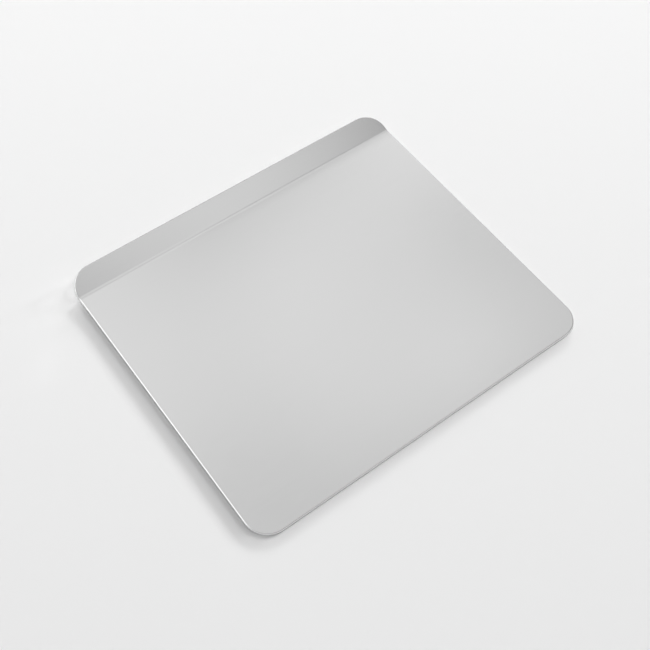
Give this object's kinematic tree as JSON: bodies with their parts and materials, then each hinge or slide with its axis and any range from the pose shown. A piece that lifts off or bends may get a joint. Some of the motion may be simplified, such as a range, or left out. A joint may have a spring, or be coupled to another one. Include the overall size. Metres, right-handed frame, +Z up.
{
  "type": "cookie sheet",
  "caption": "Flat rounded cookie sheet of bonded three-ply plate, with one shallow raised handle flange along a long side and three open sides for sliding biscuits off.",
  "frame": {"origin": "middle of the sheet as seen from above, on the plane that its underside rests on", "axes": "+X along the handle flange, +Y from the open front edge towards the flange, +Z up out of the baking face"},
  "size_m": [0.4064, 0.3555, 0.0125],
  "materials": {
    "satin_steel": "satin",
    "core_aluminium": "trimmed and deburred",
    "base_steel": "brushed"
  },
  "bodies": {
    "root": {"cooking_face": "satin_steel", "aluminium_core": "core_aluminium", "base_face": "base_steel"}
  },
  "joints": []
}
